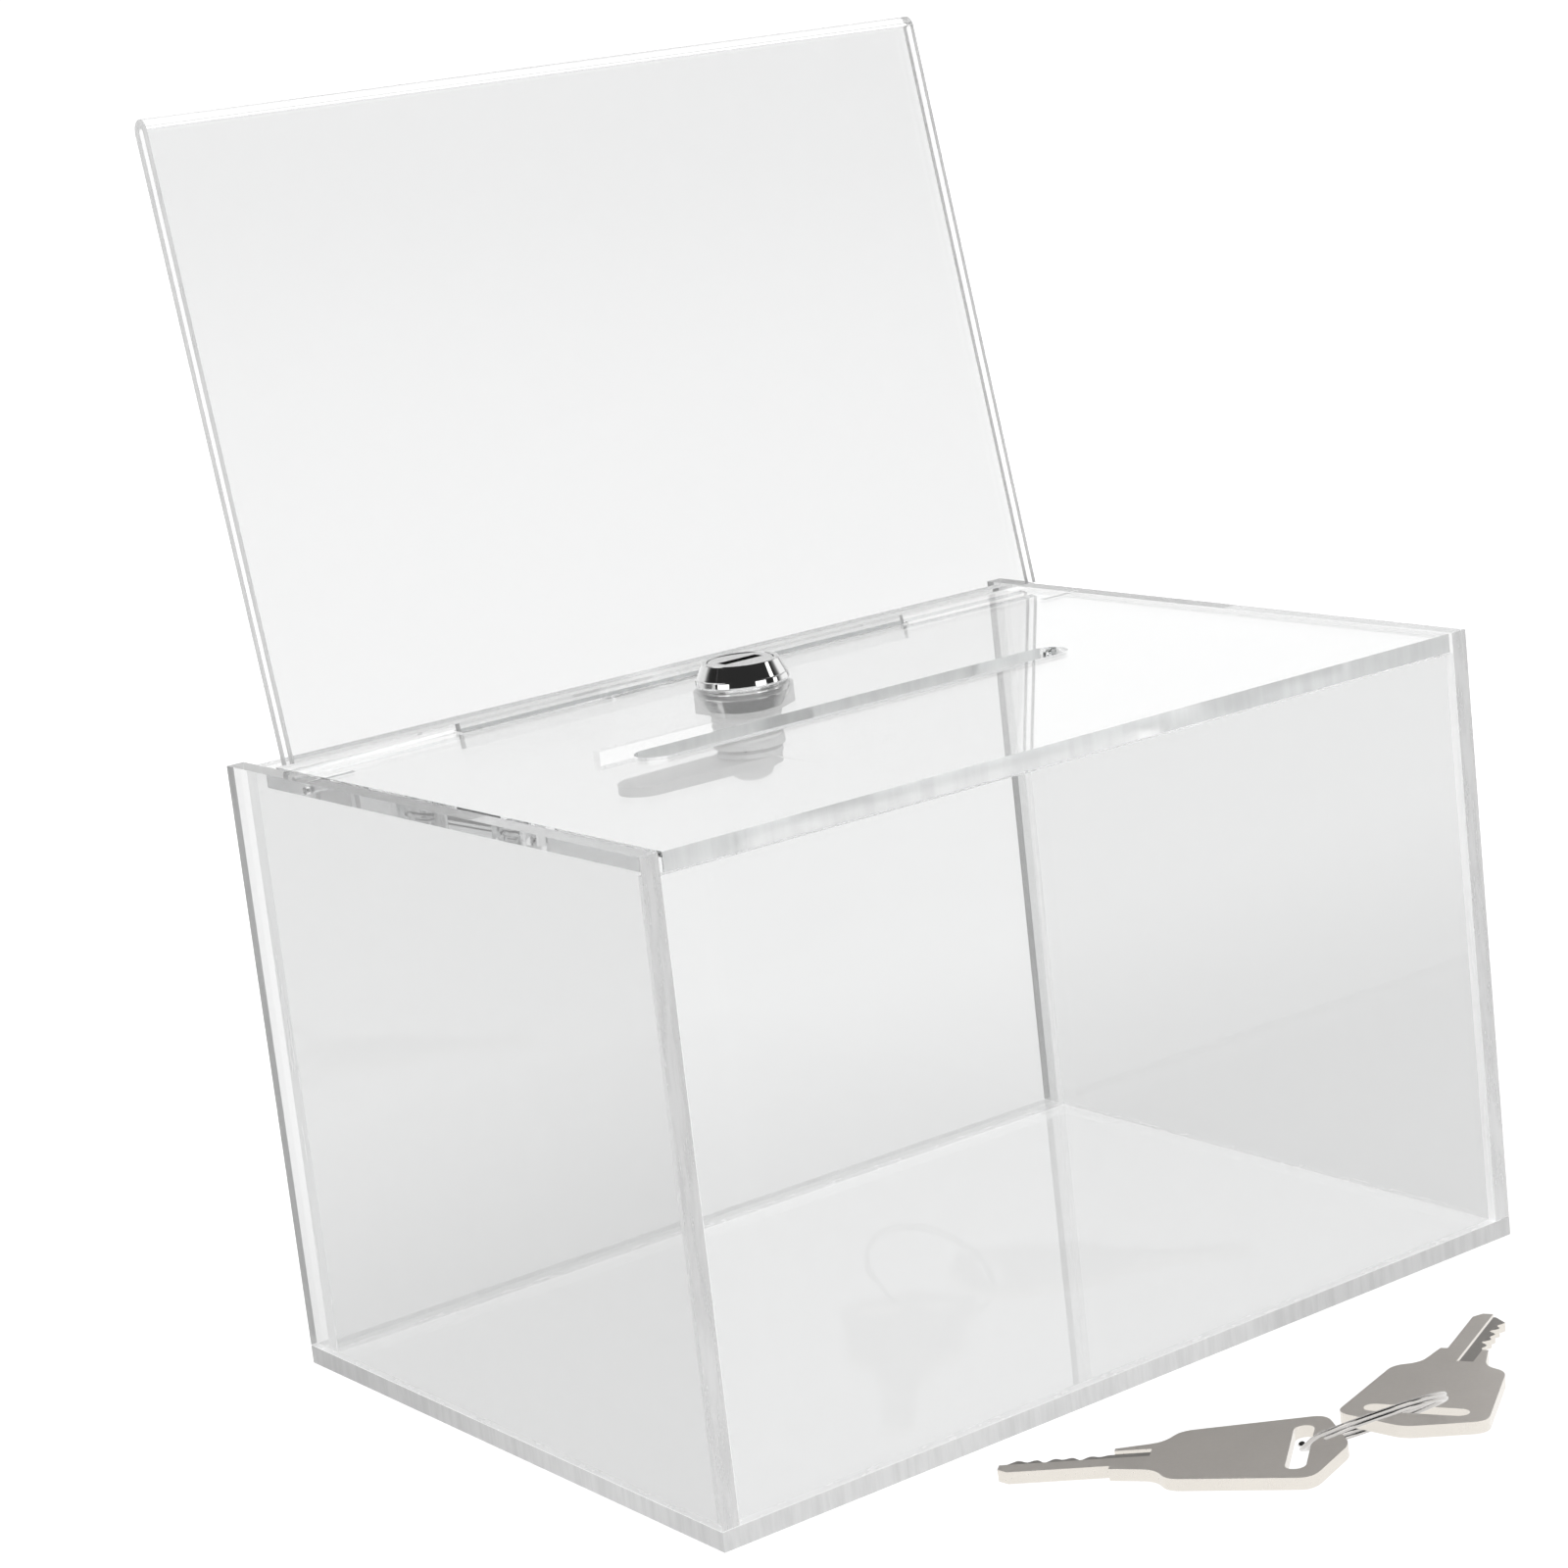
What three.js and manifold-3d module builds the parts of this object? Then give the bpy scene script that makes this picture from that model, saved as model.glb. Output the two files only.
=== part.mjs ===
// Clear acrylic donation box with a lockable hinged lid, a pull-out sign holder and two keys on a ring.
// Millimetres, +Z up. The origin is the centre of the box's footprint, on the surface that it stands on.
// +X is the right-hand side seen from the front, -Y is the front, and the sign holder is at the back (+Y).
import * as THREE from 'three';
import { mergeVertices } from 'three/addons/utils/BufferGeometryUtils.js';
import Module from 'manifold-3d';

const wasm = await Module();
wasm.setup();

// ---- driving dimensions ----
const WIDTH = 157.5;
const DEPTH = 115.5;
const HEIGHT = 100;
const SHEET = 3; // thickness of the box's acrylic sheet
const BOND = 0.1; // bond line between glued sheets

const REAR_RECESS = 4.1; // how far the side walls run past the rear plate
const LID_THICKNESS = 2.9;
const LID_DEPTH = 106.2;
const LID_SIDE_GAP = 0.7;
const LID_SEAT_GAP = 0.3;

const PAY_SLOT = { length: 84, width: 7, fromFront: 54 };

const PIN_RADIUS = 0.6;
const PIN_FROM_FRONT = 91.8;
const PIN_IN_WALL = 1.4;
const PIN_IN_LID = 5.2;
const WALL_BORE_RADIUS = 0.65;
const LID_BORE_RADIUS = 0.75;
const BORE_SPARE = 0.3; // depth of each blind bore past the pin's end

const SIGN = {
  width: 150.2, height: 101.5, sheet: 1.5, pocket: 1.2, leanDeg: 10.7, frontAtLid: 99.6, standOff: 0.5,
};
const SIGN_TAB = { width: 90, length: 6.5 };
const TAB_CLEARANCE = 0.35;

const LOCK_FROM_FRONT = 85;
const PLAY = 0.1; // clearance between the lock's moving pieces
const BARREL_RADIUS = 5.9;
const BARREL_END = 87.4;
const LID_LOCK_HOLE_RADIUS = 6.2;
// Outside of the lock's head, as [radius, height above the lid], from its seat up to its rim.
const HEAD_PROFILE = [[7.2, 0.2], [7.6, 0.7], [7.75, 1.3], [7.6, 1.9], [6.3, 3.7], [6.1, 3.9]];
const RIM_CHAMFER = 0.2;
const PLUG_RADIUS = 4.3;
const PLUG_FACE = { radius: 5.4, below: 0.5, thickness: 1, chamfer: 0.2 }; // below the head's rim
const KEYHOLE = { length: 7.6, width: 2.3, depth: 17 };
const SHANK_SIDE = 5; // square end of the plug that drives the cam
const WASHER = { radius: 8.2, holeRadius: 6.1, top: -0.2, bottom: -0.8 }; // heights from the lid's underside
const NUT = { acrossCorners: 16.4, holeRadius: 6.05, top: -1, bottom: -3.6 };

const CAM = { reach: 25.5, rootRadius: 5.2, tipRadius: 4.5, thickness: 1.6, z: 84.2 };
const KEEPER = { width: 28.4, bottom: 83.4, height: 3.2 };
const WAFER_COUNT = 4;
const WAFER_PITCH = 2.6;
const WAFER_BOTTOM = 89.6;
const WAFER = { width: 6.6, length: 7.2, thickness: 1, windowWidth: 5.2, windowLength: 2.8 };
const STOP = { radius: 5.4, thickness: 0.8, lugWidth: 4, lugReach: 6.6 };
const CAM_WASHER = { radius: 4.2, holeRadius: 1.8, thickness: 0.4 };
const SCREW = { radius: 1.4, boreRadius: 1.6, cross: { length: 3.2, width: 0.7, depth: 1 } };
// Outside of the cam screw's head, as [radius, height from its seat on the washer].
const SCREW_HEAD = [[0, -1.9], [2.2, -1.8], [3.2, -1.2], [3.5, -0.5], [3.5, 0]];

const RING = { radius: 10.6, wireRadius: 0.7, leanDeg: 30 };
const KEY = { thickness: 1.8, slotLength: 15.4, slotWidth: 3, apex: 6.7, slotShift: 2 };
// Half of a key's bow and neck, from the apex down one side: straight steps, or curves with a bend point.
const KEY_SIDE = [
  { bend: [0.9, 6.7], to: [1.8, 6.35] },
  { to: [8.9, 3.65] },
  { bend: [11.1, 2.8], to: [10.8, 0.6] },
  { to: [8.75, -16] },
  { bend: [8.5, -18.1], to: [6.8, -18.9] },
  { bend: [4.7, -19.9], to: [4.4, -22.4] },
  { to: [3.6, -26.8] },
];
const BLADE = { half: 2.55, start: -26.8, tipStart: -41, tip: -43.2 };
const BLADE_TIP = [[-0.6, 0], [1.4, 0], [2.55, 1.6]]; // [across, above the tip's end]
// The blade's wafer cuts are rounded notches, as [place along the blade, depth].
const BLADE_CUTS = [[-28.9, 0.5], [-31.6, 1.2], [-34.2, 0.6], [-36.8, 1.3], [-39.4, 0.8]];
const CUT_SPREAD = 0.8;
const CUT_STEP = 0.45;
// The channel milled in one face runs along the cut half of the blade and up into the neck.
const KEY_CHANNEL = { inner: -0.2, neckEdge: -2.7, start: -21.4, depth: 0.5 };
const KEY_CROSSING_DEG = 54.6; // where a key hangs, measured round the ring from its lowest point
const KEY_PITCH_DEG = 2.9; // each key tips down this much towards its blade
const KEYS = { x: 0, y: -106, turnDeg: 170 }; // where the ring lies on the surface, and which way round

const halfWidth = WIDTH / 2;
const frontY = -DEPTH / 2;
const innerX = halfWidth - SHEET;
const wallBottom = SHEET + BOND;
const rearPlateY = DEPTH / 2 - REAR_RECESS - SHEET; // inner face of the rear plate
const lidBottom = HEIGHT - LID_THICKNESS;
const lidHalf = innerX - LID_SIDE_GAP;
const lidMidZ = HEIGHT - LID_THICKNESS / 2;
const pinY = frontY + PIN_FROM_FRONT;
const lockY = frontY + LOCK_FROM_FRONT;
const lean = THREE.MathUtils.degToRad(SIGN.leanDeg);
const signThickness = 2 * SIGN.sheet + SIGN.pocket;
const faceZ = HEIGHT + HEAD_PROFILE.at(-1)[1] - PLUG_FACE.below; // front face of the plug
const faceSeat = faceZ - PLUG_FACE.thickness; // shoulder under the plug's face
const waferZ = (index) => WAFER_BOTTOM + index * WAFER_PITCH;
const camTop = CAM.z + CAM.thickness;
const camWasherTop = CAM.z - PLAY;
const camWasherBottom = camWasherTop - CAM_WASHER.thickness;

// ---- materials ----
const acrylic = (color) => new THREE.MeshStandardMaterial({
  color, roughness: 0.05, metalness: 0, transparent: true, opacity: 0.35,
});
const metal = (color, roughness) => new THREE.MeshStandardMaterial({ color, roughness, metalness: 1 });

// ---- helpers ----
function toManifold(geometry) {
  const bare = geometry.index ? geometry.clone() : geometry;
  bare.deleteAttribute('normal');
  bare.deleteAttribute('uv');
  const merged = mergeVertices(bare, 1e-4);
  return new wasm.Manifold(new wasm.Mesh({
    numProp: 3,
    vertProperties: new Float32Array(merged.attributes.position.array),
    triVerts: new Uint32Array(merged.index.array),
  }));
}

function toGeometry(manifold) {
  const mesh = manifold.getMesh();
  const geometry = new THREE.BufferGeometry();
  geometry.setAttribute('position', new THREE.BufferAttribute(mesh.vertProperties, 3));
  geometry.setIndex(new THREE.BufferAttribute(mesh.triVerts, 1));
  geometry.computeVertexNormals();
  return geometry;
}

// A box given by its lowest and highest corners.
function block(low, high) {
  const size = high.map((value, axis) => value - low[axis]);
  const middle = high.map((value, axis) => (value + low[axis]) / 2);
  return new THREE.BoxGeometry(...size).translate(...middle);
}

// A cylinder along Z from z0 to z1, centred on (x, y).
function post(radius, z0, z1, x = 0, y = 0, sides = 40) {
  const geometry = new THREE.CylinderGeometry(radius, radius, z1 - z0, sides);
  return geometry.rotateX(Math.PI / 2).translate(x, y, (z0 + z1) / 2);
}

// A cylinder along X from x0 to x1, centred on (y, z).
function rod(radius, x0, x1, y, z, sides = 20) {
  const geometry = new THREE.CylinderGeometry(radius, radius, x1 - x0, sides);
  return geometry.rotateZ(Math.PI / 2).translate((x0 + x1) / 2, y, z);
}

// An outline in XY pulled up from z0 to z1.
function slab(shape, z0, z1, curveSegments = 12) {
  const geometry = new THREE.ExtrudeGeometry(shape, { depth: z1 - z0, bevelEnabled: false, curveSegments });
  return geometry.translate(0, 0, z0);
}

// A profile of [radius, z] pairs turned around the Z axis; it starts and ends on the axis or closes.
function turned(profile, segments = 40) {
  const points = profile.map(([radius, z]) => new THREE.Vector2(radius, z));
  return new THREE.LatheGeometry(points, segments).rotateX(Math.PI / 2);
}

// Cutting tools run this far past a face, so that each cut goes right through.
const PAST = 1;

function cut(base, ...tools) {
  return toGeometry(tools.reduce((solid, tool) => solid.subtract(toManifold(tool)), toManifold(base)));
}

function join(base, ...others) {
  return toGeometry(others.reduce((solid, other) => solid.add(toManifold(other)), toManifold(base)));
}

// A straight slot outline with round ends, along X.
function roundSlot(length, width) {
  const straight = length / 2 - width / 2;
  const shape = new THREE.Shape();
  shape.moveTo(-straight, -width / 2);
  shape.lineTo(straight, -width / 2);
  shape.absarc(straight, 0, width / 2, -Math.PI / 2, Math.PI / 2, false);
  shape.lineTo(-straight, width / 2);
  shape.absarc(-straight, 0, width / 2, Math.PI / 2, 1.5 * Math.PI, false);
  return shape;
}

const group = new THREE.Group();

function addPart(parent, name, geometry, material) {
  const mesh = new THREE.Mesh(geometry, material);
  mesh.name = name;
  parent.add(mesh);
  return mesh;
}

// ---- the box: five glued sheets ----
function bottomPlate() {
  return block([-halfWidth, frontY, 0], [halfWidth, -frontY, SHEET]);
}

// side is -1 for the left wall and +1 for the right one.
function sideWall(side) {
  const xs = [side * innerX, side * halfWidth].sort((a, b) => a - b);
  const wall = block([xs[0], frontY, wallBottom], [xs[1], -frontY, HEIGHT]);
  const boreEnd = side * (innerX + PIN_IN_WALL + BORE_SPARE);
  const boreXs = [side * (innerX - PAST), boreEnd].sort((a, b) => a - b);
  return cut(wall, rod(WALL_BORE_RADIUS, boreXs[0], boreXs[1], pinY, lidMidZ));
}

function frontWall() {
  const reach = innerX - BOND;
  return block([-reach, frontY, wallBottom], [reach, frontY + SHEET, lidBottom - LID_SEAT_GAP]);
}

function rearPlate() {
  const reach = innerX - BOND;
  const plate = block([-reach, rearPlateY, wallBottom], [reach, rearPlateY + SHEET, HEIGHT]);
  const keeper = block(
    [-KEEPER.width / 2, rearPlateY - PAST, KEEPER.bottom],
    [KEEPER.width / 2, rearPlateY + SHEET + PAST, KEEPER.bottom + KEEPER.height],
  );
  return cut(plate, keeper);
}

// ---- the lid ----
function lid() {
  const sheet = block([-lidHalf, frontY, lidBottom], [lidHalf, frontY + LID_DEPTH, HEIGHT]);
  const slotY = frontY + PAY_SLOT.fromFront;
  const slot = slab(roundSlot(PAY_SLOT.length, PAY_SLOT.width), lidBottom - PAST, HEIGHT + PAST);
  slot.translate(0, slotY, 0);
  const lockHole = post(LID_LOCK_HOLE_RADIUS, lidBottom - PAST, HEIGHT + PAST, 0, lockY);
  const tabHalf = SIGN_TAB.width / 2 + TAB_CLEARANCE;
  const tabFront = frontY + SIGN.frontAtLid - LID_THICKNESS * Math.tan(lean) - TAB_CLEARANCE;
  const tabRear = frontY + SIGN.frontAtLid + SIGN.sheet / Math.cos(lean) + TAB_CLEARANCE;
  const tabSlot = block([-tabHalf, tabFront, lidBottom - PAST], [tabHalf, tabRear, HEIGHT + PAST]);
  const boreInner = lidHalf - (PIN_IN_LID + BORE_SPARE);
  const leftBore = rod(LID_BORE_RADIUS, -lidHalf - PAST, -boreInner, pinY, lidMidZ);
  const rightBore = rod(LID_BORE_RADIUS, boreInner, lidHalf + PAST, pinY, lidMidZ);
  return cut(sheet, slot, lockHole, tabSlot, leftBore, rightBore);
}

function hingePin(side) {
  const xs = [side * (lidHalf - PIN_IN_LID), side * (innerX + PIN_IN_WALL)].sort((a, b) => a - b);
  return rod(PIN_RADIUS, xs[0], xs[1], pinY, lidMidZ);
}

// ---- the sign holder: one sheet folded over at the top, with a tab on its front leaf ----
// Drawn upright in its own frame: the front face is y = 0 and the leaves stand on z = 0.
function signHolder() {
  const outer = SIGN.sheet + SIGN.pocket / 2;
  const inner = SIGN.pocket / 2;
  const bendZ = SIGN.height - outer;
  const profile = new THREE.Shape();
  profile.moveTo(0, 0);
  profile.lineTo(SIGN.sheet, 0);
  profile.lineTo(SIGN.sheet, bendZ);
  profile.absarc(outer, bendZ, inner, Math.PI, 0, true);
  profile.lineTo(SIGN.sheet + SIGN.pocket, 0);
  profile.lineTo(2 * outer, 0);
  profile.lineTo(2 * outer, bendZ);
  profile.absarc(outer, bendZ, outer, 0, Math.PI, false);
  const folded = slab(profile, 0, SIGN.width, 16);
  // The profile's x runs to the rear and its y runs up.
  folded.applyMatrix4(new THREE.Matrix4().makeBasis(
    new THREE.Vector3(0, 1, 0), new THREE.Vector3(0, 0, 1), new THREE.Vector3(1, 0, 0),
  ));
  folded.translate(-SIGN.width / 2, 0, 0);
  const tab = block([-SIGN_TAB.width / 2, 0, -SIGN_TAB.length], [SIGN_TAB.width / 2, SIGN.sheet, PAST]);
  return join(folded, tab);
}

// ---- the cam lock, drawn around its own axis with z as in the box ----
function lockHousing() {
  const boreRadius = PLUG_RADIUS + PLAY;
  const recessRadius = PLUG_FACE.radius + PLAY;
  const seat = faceSeat - PLAY;
  const head = HEAD_PROFILE.map(([radius, height]) => [radius, HEIGHT + height]);
  const rimZ = head.at(-1)[1];
  return turned([
    [boreRadius, BARREL_END], [BARREL_RADIUS, BARREL_END], [BARREL_RADIUS, head[0][1]],
    ...head,
    [recessRadius + RIM_CHAMFER, rimZ], [recessRadius, rimZ - RIM_CHAMFER], [recessRadius, seat],
    [boreRadius, seat], [boreRadius, BARREL_END],
  ], 48);
}

function lockWasher() {
  const disc = post(WASHER.radius, lidBottom + WASHER.bottom, lidBottom + WASHER.top);
  return cut(disc, post(WASHER.holeRadius, lidBottom + WASHER.bottom - PAST, lidBottom));
}

function lockNut() {
  const hexagon = post(NUT.acrossCorners / 2, lidBottom + NUT.bottom, lidBottom + NUT.top, 0, 0, 6);
  return cut(hexagon, post(NUT.holeRadius, lidBottom + NUT.bottom - PAST, lidBottom));
}

function lockPlug() {
  const coreEnd = BARREL_END - 2 * PLAY;
  const core = turned([
    [0, coreEnd], [PLUG_RADIUS, coreEnd], [PLUG_RADIUS, faceSeat], [PLUG_FACE.radius, faceSeat],
    [PLUG_FACE.radius, faceZ - PLUG_FACE.chamfer], [PLUG_FACE.radius - PLUG_FACE.chamfer, faceZ], [0, faceZ],
  ], 48);
  const half = SHANK_SIDE / 2;
  const shank = block([-half, -half, CAM.z], [half, half, BARREL_END]);
  const keyway = block(
    [-KEYHOLE.length / 2, -KEYHOLE.width / 2, faceZ - KEYHOLE.depth],
    [KEYHOLE.length / 2, KEYHOLE.width / 2, faceZ + PAST],
  );
  const screwBore = post(SCREW.boreRadius, CAM.z - PAST, BARREL_END - 4 * PLAY, 0, 0, 24);
  const halfSlot = WAFER.width / 2 + PLAY;
  const reach = PLUG_RADIUS + PAST;
  const slots = Array.from({ length: WAFER_COUNT }, (_, index) => block(
    [-halfSlot, -reach, waferZ(index) - PLAY],
    [halfSlot, reach, waferZ(index) + WAFER.thickness + PLAY],
  ));
  return cut(join(core, shank), keyway, screwBore, ...slots);
}

// A brass wafer is a thin plate with a window that the key's blade passes through.
function wafer(index) {
  const bottom = waferZ(index);
  const top = bottom + WAFER.thickness;
  const box = (width, length, low, high) => block(
    [-width / 2, -length / 2, low],
    [width / 2, length / 2, high],
  );
  const plate = toManifold(box(WAFER.width, WAFER.length, bottom, top));
  const round = toManifold(post(PLUG_RADIUS - PLAY, bottom - PAST, top + PAST));
  const window = toManifold(box(WAFER.windowWidth, WAFER.windowLength, bottom - PAST, top + PAST));
  return toGeometry(plate.intersect(round).subtract(window));
}

function squareHole(z0, z1) {
  const half = SHANK_SIDE / 2 + PLAY;
  return block([-half, -half, z0], [half, half, z1]);
}

function stopPlate() {
  const bottom = camTop + PLAY;
  const top = bottom + STOP.thickness;
  const lug = block([-STOP.lugWidth / 2, 0, bottom], [STOP.lugWidth / 2, STOP.lugReach, top]);
  return cut(join(post(STOP.radius, bottom, top), lug), squareHole(bottom - PAST, top + PAST));
}

// The cam's arm is drawn pointing to -X, its unlocked place.
function cam() {
  const tipDistance = CAM.reach - CAM.tipRadius;
  const slope = Math.asin((CAM.rootRadius - CAM.tipRadius) / tipDistance);
  const right = Math.PI / 2;
  const shape = new THREE.Shape();
  shape.moveTo(-CAM.rootRadius * Math.sin(slope), -CAM.rootRadius * Math.cos(slope));
  shape.absarc(0, 0, CAM.rootRadius, -right - slope, right + slope, false);
  shape.absarc(-tipDistance, 0, CAM.tipRadius, right + slope, 3 * right - slope, false);
  return cut(slab(shape, CAM.z, camTop), squareHole(CAM.z - PAST, camTop + PAST));
}

function camWasher() {
  const disc = post(CAM_WASHER.radius, camWasherBottom, camWasherTop);
  return cut(disc, post(CAM_WASHER.holeRadius, camWasherBottom - PAST, camWasherTop + PAST, 0, 0, 24));
}

function camScrew() {
  const seat = camWasherBottom - PLAY;
  const top = BARREL_END - PAST;
  const head = SCREW_HEAD.map(([radius, height]) => [radius, seat + height]);
  const screw = turned([...head, [SCREW.radius, seat], [SCREW.radius, top], [0, top]], 32);
  const { length, width, depth } = SCREW.cross;
  const low = head[0][1];
  const cross = [[length, width], [width, length]].map(([x, y]) => (
    block([-x / 2, -y / 2, low - PAST], [x / 2, y / 2, low + depth])
  ));
  return cut(screw, ...cross);
}

// ---- keys and ring ----
// A key lies in its own XY plane: the slot's middle is the origin and the blade points to -Y.
function keySide() {
  const path = new THREE.Path();
  path.moveTo(0, KEY.apex);
  KEY_SIDE.forEach(({ bend, to }) => (bend ? path.quadraticCurveTo(...bend, ...to) : path.lineTo(...to)));
  return path.getPoints(6).map(({ x, y }) => [x, y]);
}

// Where the cut edge of the blade lies at a given place along it.
function cutEdge(y) {
  const notch = ([at, depth]) => depth * Math.exp(-(((y - at) / CUT_SPREAD) ** 2));
  return BLADE_CUTS.reduce((edge, bladeCut) => edge + notch(bladeCut), -BLADE.half);
}

function keyOutline() {
  const side = keySide();
  const steps = Math.floor((BLADE.start - BLADE.tipStart) / CUT_STEP);
  const cuts = Array.from({ length: steps }, (_, index) => BLADE.start - (index + 1) * CUT_STEP);
  const outline = [
    ...side.map(([x, y]) => [-x, y]),
    [-BLADE.half, BLADE.start],
    ...cuts.map((y) => [cutEdge(y), y]),
    [-BLADE.half, BLADE.tipStart],
    ...BLADE_TIP.map(([x, above]) => [x, BLADE.tip + above]),
    [BLADE.half, BLADE.start],
    ...side.slice(1).reverse(),
  ];
  return new THREE.Shape(outline.map(([x, y]) => new THREE.Vector2(x, y)));
}

function key() {
  const half = KEY.thickness / 2;
  const floorZ = half - KEY_CHANNEL.depth;
  const plate = slab(keyOutline(), -half, half);
  const slot = slab(roundSlot(KEY.slotLength, KEY.slotWidth), -half - PAST, half + PAST, 10);
  const channel = block(
    [KEY_CHANNEL.neckEdge, BLADE.tip - PAST, floorZ],
    [KEY_CHANNEL.inner, KEY_CHANNEL.start, half + PAST],
  );
  return cut(plate, slot, channel);
}

function keyRing() {
  return new THREE.TorusGeometry(RING.radius, RING.wireRadius, 10, 48);
}

// ---- assembly ----
const clear = 0xe9eef0;
addPart(group, 'bottom_plate', bottomPlate(), acrylic(clear));
addPart(group, 'front_wall', frontWall(), acrylic(clear));
addPart(group, 'left_wall', sideWall(-1), acrylic(clear));
addPart(group, 'right_wall', sideWall(1), acrylic(clear));
addPart(group, 'rear_plate', rearPlate(), acrylic(clear));
addPart(group, 'lid', lid(), acrylic(clear));
addPart(group, 'hinge_pin_left', hingePin(-1), metal(0xc4c6c8, 0.3));
addPart(group, 'hinge_pin_right', hingePin(1), metal(0xc4c6c8, 0.3));

// The leaves' ends are square, so the leaning holder's rear lower edge is nearest to the lid.
const signLift = SIGN.standOff + signThickness * Math.sin(lean);
const sign = addPart(group, 'sign_holder', signHolder(), acrylic(0xf0f3f4));
sign.position.set(0, frontY + SIGN.frontAtLid + signLift * Math.tan(lean), HEIGHT + signLift);
sign.rotation.x = -lean;

const lock = new THREE.Group();
lock.position.set(0, lockY, 0);
group.add(lock);
const chrome = () => metal(0xd8dadc, 0.08);
const steel = () => metal(0xb9bbbd, 0.35);
addPart(lock, 'lock_housing', lockHousing(), chrome());
addPart(lock, 'lock_washer', lockWasher(), steel());
addPart(lock, 'lock_nut', lockNut(), steel());
addPart(lock, 'lock_plug', lockPlug(), chrome());
for (let index = 0; index < WAFER_COUNT; index += 1) {
  addPart(lock, `wafer_${index + 1}`, wafer(index), metal(0xb08d4c, 0.35));
}
addPart(lock, 'stop_plate', stopPlate(), steel());
addPart(lock, 'cam', cam(), steel());
addPart(lock, 'cam_washer', camWasher(), steel());
addPart(lock, 'cam_screw', camScrew(), steel());

// The ring leans over the two keys. Its lowest point, between them, touches the surface.
const ringLean = THREE.MathUtils.degToRad(RING.leanDeg);
const keys = new THREE.Group();
keys.position.set(KEYS.x, KEYS.y, 0);
keys.rotation.z = THREE.MathUtils.degToRad(KEYS.turnDeg);
group.add(keys);
const nickel = () => metal(0xb5b1ab, 0.3);
const ring = addPart(keys, 'key_ring', keyRing(), nickel());
ring.position.z = RING.wireRadius + RING.radius * Math.sin(ringLean);
ring.rotation.x = ringLean;

// Each key hangs on the ring where the wire climbs through its slot.
const crossing = THREE.MathUtils.degToRad(KEY_CROSSING_DEG);
const crossingX = RING.radius * Math.sin(crossing);
const crossingY = -RING.radius * Math.cos(crossing) * Math.cos(ringLean);
const crossingZ = RING.wireRadius + RING.radius * (1 - Math.cos(crossing)) * Math.sin(ringLean);
const slotHeading = Math.atan2(Math.sin(crossing) * Math.cos(ringLean), Math.cos(crossing));
[1, -1].forEach((side, index) => {
  const holder = new THREE.Group();
  holder.position.set(side * crossingX, crossingY, crossingZ);
  holder.rotation.z = side * slotHeading;
  keys.add(holder);
  const mesh = addPart(holder, `key_${index + 1}`, key(), nickel());
  mesh.rotation.x = THREE.MathUtils.degToRad(KEY_PITCH_DEG);
  // The wire passes off the slot's middle, towards the other key.
  mesh.position.x = side * KEY.slotShift;
});

export default group;
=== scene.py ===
"""Looks for the clear acrylic donation box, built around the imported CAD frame."""
import math

import bmesh
import bpy
from mathutils import Matrix, Vector


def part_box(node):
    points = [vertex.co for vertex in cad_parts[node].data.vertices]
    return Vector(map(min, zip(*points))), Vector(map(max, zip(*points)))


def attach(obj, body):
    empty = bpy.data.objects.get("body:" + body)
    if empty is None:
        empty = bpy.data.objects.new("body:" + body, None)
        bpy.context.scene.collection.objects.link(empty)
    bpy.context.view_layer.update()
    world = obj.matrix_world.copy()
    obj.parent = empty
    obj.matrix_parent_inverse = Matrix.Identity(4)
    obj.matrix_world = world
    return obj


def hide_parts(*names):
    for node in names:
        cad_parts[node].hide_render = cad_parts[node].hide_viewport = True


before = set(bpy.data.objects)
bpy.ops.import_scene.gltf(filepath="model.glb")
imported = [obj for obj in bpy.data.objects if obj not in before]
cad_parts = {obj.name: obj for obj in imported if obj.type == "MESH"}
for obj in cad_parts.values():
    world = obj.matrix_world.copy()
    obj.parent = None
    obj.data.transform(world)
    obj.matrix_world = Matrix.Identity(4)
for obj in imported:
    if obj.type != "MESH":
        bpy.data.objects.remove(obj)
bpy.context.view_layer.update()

MM = 0.001
SHEET_BOUNCES = 128  # light goes to and fro many times inside a clear sheet before it leaves
CLEAR_STEPS = 32
LIGHT_CLAMP = 6.0

scene = bpy.context.scene
scene.view_settings.view_transform = "Standard"
scene.cycles.max_bounces = SHEET_BOUNCES
scene.cycles.transmission_bounces = SHEET_BOUNCES
scene.cycles.glossy_bounces = SHEET_BOUNCES
scene.cycles.transparent_max_bounces = CLEAR_STEPS
scene.cycles.sample_clamp_indirect = LIGHT_CLAMP


# ---- small helpers -------------------------------------------------------------------------
def mesh_object(name, verts, faces, material, smooth=True):
    """A new mesh object from lists of points (metres) and faces."""
    mesh = bpy.data.meshes.new(name)
    mesh.from_pydata([tuple(v) for v in verts], [], faces)
    mesh.validate()
    bm = bmesh.new()
    bm.from_mesh(mesh)
    bmesh.ops.remove_doubles(bm, verts=bm.verts, dist=1e-7)
    bmesh.ops.recalc_face_normals(bm, faces=bm.faces)
    bm.to_mesh(mesh)
    bm.free()
    for polygon in mesh.polygons:
        polygon.use_smooth = smooth
    mesh.materials.append(material)
    obj = bpy.data.objects.new(name, mesh)
    scene.collection.objects.link(obj)
    return obj


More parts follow.
